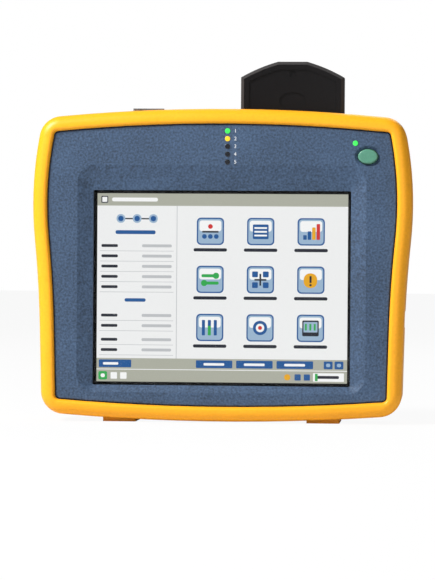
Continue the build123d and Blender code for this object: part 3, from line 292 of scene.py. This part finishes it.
def grid_of_pads():
    """The tree that lays out equal round-cornered pads in columns and rows, facing the front."""
    tree = bpy.data.node_groups.new("grid of pads", "GeometryNodeTree")
    tree.interface.new_socket("Geometry", in_out="OUTPUT", socket_type="NodeSocketGeometry")
    sizes = (
        ("Columns", "NodeSocketInt"),
        ("Rows", "NodeSocketInt"),
        ("Span X", "NodeSocketFloat"),
        ("Span Z", "NodeSocketFloat"),
        ("Width", "NodeSocketFloat"),
        ("Height", "NodeSocketFloat"),
        ("Corner", "NodeSocketFloat"),
        ("Thickness", "NodeSocketFloat"),
        ("Place", "NodeSocketVector"),
        ("Turn", "NodeSocketRotation"),
        ("Material", "NodeSocketMaterial"),
    )
    for label, kind in sizes:
        tree.interface.new_socket(label, in_out="INPUT", socket_type=kind)
    nodes, links = tree.nodes, tree.links
    given = nodes.new("NodeGroupInput").outputs
    grid = nodes.new("GeometryNodeMeshGrid")
    links.new(given["Columns"], grid.inputs["Vertices X"])
    links.new(given["Rows"], grid.inputs["Vertices Y"])
    links.new(given["Span X"], grid.inputs["Size X"])
    links.new(given["Span Z"], grid.inputs["Size Y"])
    pad = nodes.new("GeometryNodeCurvePrimitiveQuadrilateral")
    links.new(given["Width"], pad.inputs["Width"])
    links.new(given["Height"], pad.inputs["Height"])
    rounded = nodes.new("GeometryNodeFilletCurve")
    rounded.mode = "POLY"
    rounded.inputs["Count"].default_value = 5
    rounded.inputs["Limit Radius"].default_value = True
    links.new(pad.outputs["Curve"], rounded.inputs["Curve"])
    links.new(given["Corner"], rounded.inputs["Radius"])
    filled = nodes.new("GeometryNodeFillCurve")
    links.new(rounded.outputs["Curve"], filled.inputs["Curve"])
    raised = nodes.new("GeometryNodeExtrudeMesh")
    raised.inputs["Individual"].default_value = False
    links.new(filled.outputs["Mesh"], raised.inputs["Mesh"])
    links.new(given["Thickness"], raised.inputs["Offset Scale"])
    turned_over = nodes.new("GeometryNodeFlipFaces")
    links.new(filled.outputs["Mesh"], turned_over.inputs["Mesh"])
    both = nodes.new("GeometryNodeJoinGeometry")
    links.new(raised.outputs["Mesh"], both.inputs["Geometry"])
    links.new(turned_over.outputs["Mesh"], both.inputs["Geometry"])
    merged = nodes.new("GeometryNodeMergeByDistance")
    merged.inputs["Distance"].default_value = 1e-6
    links.new(both.outputs["Geometry"], merged.inputs["Geometry"])
    placed = nodes.new("GeometryNodeInstanceOnPoints")
    links.new(grid.outputs["Mesh"], placed.inputs["Points"])
    links.new(merged.outputs["Geometry"], placed.inputs["Instance"])
    real = nodes.new("GeometryNodeRealizeInstances")
    links.new(placed.outputs["Instances"], real.inputs["Geometry"])
    moved = nodes.new("GeometryNodeTransform")
    links.new(real.outputs["Geometry"], moved.inputs["Geometry"])
    links.new(given["Place"], moved.inputs["Translation"])
    links.new(given["Turn"], moved.inputs["Rotation"])
    coloured = nodes.new("GeometryNodeSetMaterial")
    links.new(moved.outputs["Geometry"], coloured.inputs["Geometry"])
    links.new(given["Material"], coloured.inputs["Material"])
    links.new(coloured.outputs["Geometry"], nodes.new("NodeGroupOutput").inputs["Geometry"])
    return tree


PADS = grid_of_pads()
FACING = {"front": (pi / 2, 0, 0), "back": (pi / 2, 0, pi)}


def pads(columns, rows, span, size, corner, thickness, place, material, facing="front"):
    """A plain mesh of pads, from the tree's named inputs."""
    values = {
        "Columns": columns,
        "Rows": rows,
        "Span X": span[0],
        "Span Z": span[1],
        "Width": size[0],
        "Height": size[1],
        "Corner": corner,
        "Thickness": thickness,
        "Place": place,
        "Turn": Euler(FACING[facing]),
        "Material": material,
    }
    holder = bpy.data.objects.new("pads", bpy.data.meshes.new("pads"))
    bpy.context.collection.objects.link(holder)
    modifier = holder.modifiers.new("pads", "NODES")
    modifier.node_group = PADS
    for item in PADS.interface.items_tree:
        if item.in_out == "INPUT":
            modifier[item.identifier] = values[item.name]
    bpy.context.view_layer.update()
    evaluated = holder.evaluated_get(bpy.context.evaluated_depsgraph_get())
    mesh = bpy.data.meshes.new_from_object(evaluated)
    bpy.data.objects.remove(holder)
    return mesh


def joined(name, meshes, body):
    """One object from several meshes, riding on a body."""
    parts = []
    for mesh in meshes:
        part = bpy.data.objects.new(name, mesh)
        bpy.context.collection.objects.link(part)
        parts.append(part)
    with bpy.context.temp_override(active_object=parts[0], selected_editable_objects=parts):
        bpy.ops.object.join()
    whole = parts[0]
    whole.name = name
    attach(whole, body)
    return whole


def area(left, low, width, height, layer, material, corner=0.0, columns=1, rows=1, span=(0.0, 0.0)):
    """A lit area, or a grid of them. left and low are shares of the display, in millimetres."""
    place = (
        SCREEN_LEFT + (left + width / 2) * MM + span[0] * MM / 2,
        GLASS_Y,
        SCREEN_LOW + (low + height / 2) * MM + span[1] * MM / 2,
    )
    return pads(
        columns,
        rows,
        (span[0] * MM, span[1] * MM),
        (width * MM, height * MM),
        max(corner, 0.02) * MM,
        layer * FILM,
        place,
        material,
    )


picture = [
    area(0.0, 0.0, 130.6, 98.0, 1, PAGE),
    area(0.0, 91.6, 130.6, 6.4, 2, BEIGE),
    area(2.0, 93.0, 3.6, 3.6, 3, INK, 0.5),
    area(2.5, 93.5, 2.6, 2.6, 4, WHITE, 0.3),
    area(7.6, 93.8, 24.0, 2.0, 3, WHITE, 0.9),
    area(0.0, 6.6, 130.6, 5.6, 2, BEIGE),
    area(0.0, 0.0, 130.6, 6.2, 2, BEIGE),
    area(41.5, 12.2, 0.35, 79.4, 2, RULE),
    area(1.2, 7.4, 17.0, 4.0, 3, BLUE, 0.5),
    area(3.4, 8.7, 8.0, 1.3, 4, WHITE, 0.5),
    area(52.0, 7.4, 19.0, 4.0, 3, BLUE, 0.5, columns=3, span=(42.0, 0.0)),
    area(56.0, 8.7, 10.8, 1.3, 4, WHITE, 0.5, columns=3, span=(42.0, 0.0)),
    area(118.5, 7.4, 4.6, 4.0, 3, BLUE, 0.5, columns=2, span=(5.6, 0.0)),
    area(119.7, 8.5, 2.2, 1.8, 4, PALE_BLUE, 0.8, columns=2, span=(5.6, 0.0)),
    area(1.0, 0.9, 4.6, 4.4, 3, GREEN, 0.9),
    area(2.2, 2.1, 2.2, 2.0, 4, WHITE, 0.9),
    area(7.4, 1.4, 3.4, 3.4, 3, WHITE, 0.4, columns=2, span=(5.0, 0.0)),
    area(98.0, 1.4, 3.2, 3.2, 3, AMBER, 1.5),
    area(103.4, 1.4, 3.2, 3.2, 3, BLUE, 0.4, columns=2, span=(4.8, 0.0)),
    area(113.0, 0.9, 16.0, 4.4, 3, WHITE, 0.3),
    area(114.4, 2.4, 12.0, 1.5, 4, INK, 0.5),
    area(114.0, 1.2, 1.4, 3.8, 5, GREEN, 0.2),
]

# head of the list: three linked nodes over an underlined heading
picture += [
    area(10.0, 82.6, 4.6, 4.6, 3, PALE_BLUE, 2.2, columns=3, span=(17.0, 0.0)),
    area(10.9, 83.5, 2.8, 2.8, 4, BLUE, 1.3, columns=3, span=(17.0, 0.0)),
    area(13.0, 84.5, 16.0, 0.7, 2, INK),
    area(9.5, 76.8, 21.0, 2.0, 3, BLUE, 0.9),
]
ROW_PITCH = 5.35
for start, count in ((48.6, 5), (28.4, 2), (15.8, 2)):
    reach = (count - 1) * ROW_PITCH
    picture += [
        area(2.2, start, 8.6, 1.5, 3, INK, 0.6, rows=count, span=(0.0, reach)),
        area(23.5, start, 15.5, 1.5, 3, RULE, 0.6, rows=count, span=(0.0, reach)),
        area(1.4, start - 2.1, 38.6, 0.25, 2, RULE, rows=count, span=(0.0, reach)),
    ]
picture.append(area(14.5, 41.6, 11.0, 1.8, 3, BLUE, 0.8))

# nine tiles with a caption bar under each
TILE = 14.2
TILE_LEFT = 52.0
TILE_LOW = 21.4
TILE_SPAN = (52.4, 50.0)
tiles = {"columns": 3, "rows": 3, "span": TILE_SPAN}
picture += [
    area(TILE_LEFT, TILE_LOW, TILE, TILE, 3, BLUE, 2.2, **tiles),
    area(TILE_LEFT + 0.7, TILE_LOW + 0.7, TILE - 1.4, TILE - 1.4, 4, PALE_BLUE, 1.7, **tiles),
    area(TILE_LEFT + 1.4, TILE_LOW + TILE / 2, TILE - 2.8, TILE / 2 - 1.5, 5, WHITE, 1.3, **tiles),
    area(TILE_LEFT - 1.6, TILE_LOW - 3.4, TILE + 3.2, 1.7, 3, INK, 0.8, **tiles),
]

# a simple sign on each tile, bottom row first: bars, rings, arrows, steps, dots
TILE_STEP = (TILE_SPAN[0] / 2, TILE_SPAN[1] / 2)


def on_tile(column, row, left, low, width, height, layer, material, corner=0.3, **grid):
    """A lit area placed on one of the tiles."""
    return area(
        TILE_LEFT + column * TILE_STEP[0] + left,
        TILE_LOW + row * TILE_STEP[1] + low,
        width,
        height,
        layer,
        material,
        corner,
        **grid,
    )


picture += [
    on_tile(0, 0, 3.0, 3.0, 1.6, 8.0, 6, BLUE, columns=3, span=(6.2, 0.0)),
    on_tile(0, 0, 6.1, 3.0, 1.6, 5.0, 7, GREEN),
    on_tile(1, 0, 3.4, 3.4, 7.4, 7.4, 6, BLUE, 3.6),
    on_tile(1, 0, 4.9, 4.9, 4.4, 4.4, 7, WHITE, 2.1),
    on_tile(1, 0, 6.1, 6.1, 2.0, 2.0, 8, RED, 0.9),
    on_tile(2, 0, 2.8, 3.0, 8.6, 8.2, 6, INK, 0.7),
    on_tile(2, 0, 3.5, 5.0, 7.2, 5.4, 7, PALE_BLUE, 0.3),
    on_tile(2, 0, 4.2, 6.0, 1.0, 3.4, 8, GREEN, 0.2, columns=3, span=(4.6, 0.0)),
    on_tile(0, 1, 2.6, 8.2, 9.0, 1.6, 6, GREEN, 0.7),
    on_tile(0, 1, 2.6, 4.4, 9.0, 1.6, 6, GREEN, 0.7),
    on_tile(0, 1, 8.6, 7.4, 3.2, 3.2, 7, GREEN, 1.5),
    on_tile(0, 1, 2.4, 3.6, 3.2, 3.2, 7, GREEN, 1.5),
    on_tile(1, 1, 2.8, 2.8, 3.0, 3.0, 6, BLUE, 0.5, columns=2, rows=2, span=(5.6, 5.6)),
    on_tile(1, 1, 4.0, 6.6, 6.2, 0.9, 7, INK, 0.2),
    on_tile(1, 1, 6.6, 4.0, 0.9, 6.2, 7, INK, 0.2),
    on_tile(2, 1, 3.4, 3.0, 7.0, 7.6, 6, AMBER, 3.2),
    on_tile(2, 1, 6.4, 5.6, 1.1, 3.6, 7, INK, 0.4),
    on_tile(2, 1, 6.3, 3.9, 1.3, 1.2, 7, INK, 0.6),
    on_tile(0, 2, 2.8, 6.4, 8.6, 0.9, 6, INK, 0.3),
    on_tile(0, 2, 2.8, 3.2, 2.4, 2.4, 7, BLUE, 1.1, columns=3, span=(6.2, 0.0)),
    on_tile(0, 2, 5.9, 8.4, 2.4, 2.4, 7, RED, 1.1),
    on_tile(1, 2, 3.0, 3.2, 8.2, 7.6, 6, BLUE, 0.6),
    on_tile(1, 2, 3.8, 4.6, 6.6, 0.9, 7, WHITE, 0.3, rows=3, span=(0.0, 3.9)),
    on_tile(2, 2, 3.0, 3.0, 1.8, 2.4, 6, BLUE, 0.3),
    on_tile(2, 2, 5.3, 3.0, 1.8, 4.4, 6, BLUE, 0.3),
    on_tile(2, 2, 7.6, 3.0, 1.8, 6.4, 6, AMBER, 0.3),
    on_tile(2, 2, 9.9, 3.0, 1.8, 8.2, 6, RED, 0.3),
]
joined("screen_picture", picture, "housing")

# ---------------------------------------------------------------- lamps
# Light pipes of clear plastic: the top status lamp and the power lamp are lit green, the second
# is lit yellow and the rest are dark. Small printed numbers count them.


def lens_material(name, colour, light):
    """Tinted plastic, lit from behind by light."""
    material, nodes, links, shader = new_material(name)
    mottle = ramp(nodes, links, noise(nodes, links, 0.0009), (0.3, shaded(colour, 0.7)), (0.7, colour))
    links.new(mottle, shader.inputs["Base Color"])
    shader.inputs["Roughness"].default_value = 0.22
    shader.inputs["Coat Weight"].default_value = 0.4
    shader.inputs["Emission Color"].default_value = (*colour, 1.0)
    shader.inputs["Emission Strength"].default_value = light
    return material


GREEN_LIGHT = (0.05, 0.80, 0.10)
YELLOW_LIGHT = (0.85, 0.55, 0.03)
DARK_LENS = (0.012, 0.014, 0.020)
lens_green = lens_material("green lamp", GREEN_LIGHT, 0.42)
lens_yellow = lens_material("yellow lamp", YELLOW_LIGHT, 0.42)
lens_dark = lens_material("unlit lamp", DARK_LENS, 0.0)
paint(lens_green, "status_lens_1", "power_lens")
paint(lens_yellow, "status_lens_2")
paint(lens_dark, "status_lens_3", "status_lens_4", "status_lens_5")

print_white, nodes, links, shader = new_material("white print")
WORN_WHITE = (0.55, 0.57, 0.60)
CLEAN_WHITE = (0.72, 0.74, 0.76)
worn = ramp(nodes, links, noise(nodes, links, 0.0006), (0.3, WORN_WHITE), (0.6, CLEAN_WHITE))
links.new(worn, shader.inputs["Base Color"])
shader.inputs["Roughness"].default_value = 0.6
PRINT_HEIGHT = 2.7 * MM
PRINT_THICKNESS = 0.03 * MM
panel_y = min(vertex.co.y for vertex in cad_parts["front_case"].data.vertices)
numbers = []
for number in range(1, 6):
    low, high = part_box(f"status_lens_{number}")
    curve = bpy.data.curves.new("number", "FONT")
    curve.body = str(number)
    curve.size = PRINT_HEIGHT
    curve.extrude = PRINT_THICKNESS / 2
    curve.align_x = "LEFT"
    curve.align_y = "CENTER"
    text = bpy.data.objects.new("number", curve)
    bpy.context.collection.objects.link(text)
    bpy.context.view_layer.update()
    mesh = bpy.data.meshes.new_from_object(text.evaluated_get(bpy.context.evaluated_depsgraph_get()))
    bpy.data.objects.remove(text)
    place = Vector((high[0] + 1.6 * MM, panel_y - PRINT_THICKNESS / 2, (low[2] + high[2]) / 2))
    mesh.transform(Matrix.Translation(place) @ Matrix.Rotation(pi / 2, 4, "X"))
    mesh.materials.clear()
    mesh.materials.append(print_white)
    numbers.append(mesh)
joined("lamp_numbers", numbers, "housing")

# ---------------------------------------------------------------- power button
# A domed oval key of grey-green plastic in a shallow oval dish.

GREY_GREEN = (0.082, 0.25, 0.17)
button_plastic = moulded("grey-green key", GREY_GREEN, 0.38, 0.001, 0.00002, spread=0.08, coat=0.2)
paint(button_plastic, "power_button")

# ---------------------------------------------------------------- radio card
# The card's steel shell ends in a cap of two glossy black shells, whose bevelled rim carries a
# painted highlight: a dark grey set by which way its faces turn.

cap_plastic, nodes, links, shader = new_material("black cap plastic")
geometry = nodes.new("ShaderNodeNewGeometry")
split = nodes.new("ShaderNodeSeparateXYZ")
links.new(geometry.outputs["True Normal"], split.inputs["Vector"])
slope = nodes.new("ShaderNodeMath")
slope.operation = "ABSOLUTE"
links.new(split.outputs["Y"], slope.inputs[0])
# painted highlight: bevel faces turned partly toward the front are painted dark grey, the rest black
bevel_highlight = ramp(
    nodes,
    links,
    slope.outputs["Value"],
    (0.0, (0.006, 0.005, 0.006)),
    (1.0, (0.005, 0.0045, 0.005)),
    (0.60, (0.045, 0.042, 0.042)),
    (0.80, (0.045, 0.042, 0.042)),
    (0.50, (0.006, 0.005, 0.006)),
    (0.90, (0.005, 0.0045, 0.005)),
)
links.new(bevel_highlight, shader.inputs["Base Color"])
shader.inputs["Roughness"].default_value = 0.26
shader.inputs["Specular IOR Level"].default_value = 0.3
bump(nodes, links, shader, noise(nodes, links, 0.0008), 0.00002)
paint(cap_plastic, "radio_cap_front", "radio_cap_back")


def metal(name, colour, roughness, grain=0.0006, stretch=(1.0, 1.0, 1.0)):
    """Bare or plated metal, with fine marks stretched along the way it was worked."""
    material, nodes, links, shader = new_material(name)
    coordinates = nodes.new("ShaderNodeTexCoord")
    mapping = nodes.new("ShaderNodeMapping")
    mapping.inputs["Scale"].default_value = stretch
    pattern = nodes.new("ShaderNodeTexNoise")
    pattern.inputs["Scale"].default_value = 1.0 / grain
    links.new(coordinates.outputs["Object"], mapping.inputs["Vector"])
    links.new(mapping.outputs["Vector"], pattern.inputs["Vector"])
    marks = pattern.outputs["Fac"]
    colours = ramp(nodes, links, marks, (0.3, shaded(colour, 0.82)), (0.7, colour))
    links.new(colours, shader.inputs["Base Color"])
    gloss = nodes.new("ShaderNodeMapRange")
    gloss.inputs["To Min"].default_value = roughness - 0.08
    gloss.inputs["To Max"].default_value = roughness + 0.1
    links.new(marks, gloss.inputs["Value"])
    links.new(gloss.outputs["Result"], shader.inputs["Roughness"])
    shader.inputs["Metallic"].default_value = 1.0
    bump(nodes, links, shader, marks, 0.000004)
    return material


STEEL = (0.56, 0.57, 0.58)
tinned_steel = metal("tinned steel", STEEL, 0.32, stretch=(1.0, 1.0, 0.05))
paint(tinned_steel, "radio_card", "card_cage", "sfp_cage", "usb_jack", "lan_jack", "processor_shield")

black_moulding = moulded("black moulding", (0.018, 0.018, 0.020), 0.48, 0.0007, 0.00003)
paint(black_moulding, "eject_button", "dc_jack", "power_switch")
paint(black_moulding, "battery_contacts", "stylus_sleeve", "board_chips")

# ---------------------------------------------------------------- fibre module and network socket
# A plated die-cast module with a wire bail that pulls it out, and a shielded socket with eight
# gold contacts.

module_metal = metal("plated module", (0.62, 0.62, 0.61), 0.36, stretch=(0.1, 1.0, 1.0))
paint(module_metal, "sfp_module")
wire_metal = metal("bail wire", (0.50, 0.50, 0.50), 0.28, stretch=(0.1, 1.0, 1.0))
paint(wire_metal, "sfp_bail", "stand_pins")

gold = metal("gold plate", (0.83, 0.58, 0.22), 0.28)
paint(gold, "battery_terminals")
jack_low, jack_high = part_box("lan_jack")
CONTACT_PITCH = 1.02 * MM
contacts = pads(
    8,
    1,
    (7 * CONTACT_PITCH, 0.0),
    (0.42 * MM, 8.0 * MM),
    0.08 * MM,
    0.35 * MM,
    ((jack_low[0] + jack_high[0]) / 2, jack_low[1] + 10.2 * MM, jack_high[2] - 8.0 * MM),
    gold,
)
joined("lan_contacts", [contacts], "housing")

# ---------------------------------------------------------------- boards
# Glass-fibre boards under a green solder mask, with copper tracks showing as lighter lines.

board_green, nodes, links, shader = new_material("solder mask")
coordinates = nodes.new("ShaderNodeTexCoord")
turned = nodes.new("ShaderNodeMapping")
turned.inputs["Rotation"].default_value = (pi / 2, 0.0, 0.0)
tracks = nodes.new("ShaderNodeTexBrick")
tracks.inputs["Scale"].default_value = 260.0
tracks.inputs["Mortar Size"].default_value = 0.03
tracks.inputs["Color1"].default_value = (0.012, 0.10, 0.035, 1.0)
tracks.inputs["Color2"].default_value = (0.015, 0.12, 0.045, 1.0)
tracks.inputs["Mortar"].default_value = (0.04, 0.24, 0.08, 1.0)
links.new(coordinates.outputs["Object"], turned.inputs["Vector"])
links.new(turned.outputs["Vector"], tracks.inputs["Vector"])
links.new(tracks.outputs["Color"], shader.inputs["Base Color"])
shader.inputs["Roughness"].default_value = 0.3
shader.inputs["Coat Weight"].default_value = 0.3
bump(nodes, links, shader, tracks.outputs["Fac"], 0.00003)
paint(board_green, "main_board", "indicator_board", "inverter_board", "antenna_board")

aluminium = metal("brushed aluminium", (0.70, 0.70, 0.71), 0.38, stretch=(0.04, 1.0, 1.0))
paint(aluminium, "chassis_plate")

# ---------------------------------------------------------------- stylus and speaker
# A black pen in a sleeve at the right edge, and a small loudspeaker behind the rear grille.

pen_plastic = moulded("pen plastic", (0.020, 0.018, 0.020), 0.3, 0.0012, 0.00001, coat=0.3)
paint(pen_plastic, "stylus")
speaker_paint = moulded("speaker paint", (0.016, 0.016, 0.018), 0.6, 0.0005, 0.00004)
paint(speaker_paint, "speaker")

# ---------------------------------------------------------------- battery pack, latch and stand
# A darker pack that slides into the back, with ribs for a thumb, held by a sprung latch; and a
# bent stand that swings out of a groove.

pack_plastic = moulded("battery pack plastic", (0.035, 0.052, 0.088), 0.55, 0.0007, 0.00008, spread=0.2)
paint(pack_plastic, "battery_case", "battery_lid", "tilt_stand", "battery_latch")
cell_sleeve = moulded("cell sleeve", (0.05, 0.16, 0.36), 0.3, 0.003, 0.00001, coat=0.3)
paint(cell_sleeve, "battery_cells")

_, pack_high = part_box("battery_case")
RIB_COUNT = 6
RIB_PITCH = 2.2 * MM
thumb_ribs = pads(
    1,
    RIB_COUNT,
    (0.0, (RIB_COUNT - 1) * RIB_PITCH),
    (34.0 * MM, 1.0 * MM),
    0.45 * MM,
    0.25 * MM,
    (0.0, pack_high[1], pack_high[2] - 12.0 * MM),
    pack_plastic,
    facing="back",
)
joined("battery_thumb_ribs", [thumb_ribs], "battery")

# ---------------------------------------------------------------- fasteners
# Black case screws into brass inserts, and small plated screws on the boards and display.

screw_black = metal("blackened steel", (0.10, 0.10, 0.105), 0.4)
paint(screw_black, "case_screws")
screw_plated = metal("zinc plate", (0.60, 0.61, 0.62), 0.32)
paint(screw_plated, "frame_screws", "board_screws", "strip_screws")
brass = metal("brass", (0.66, 0.47, 0.20), 0.34)
paint(brass, "board_standoffs", "threaded_inserts")
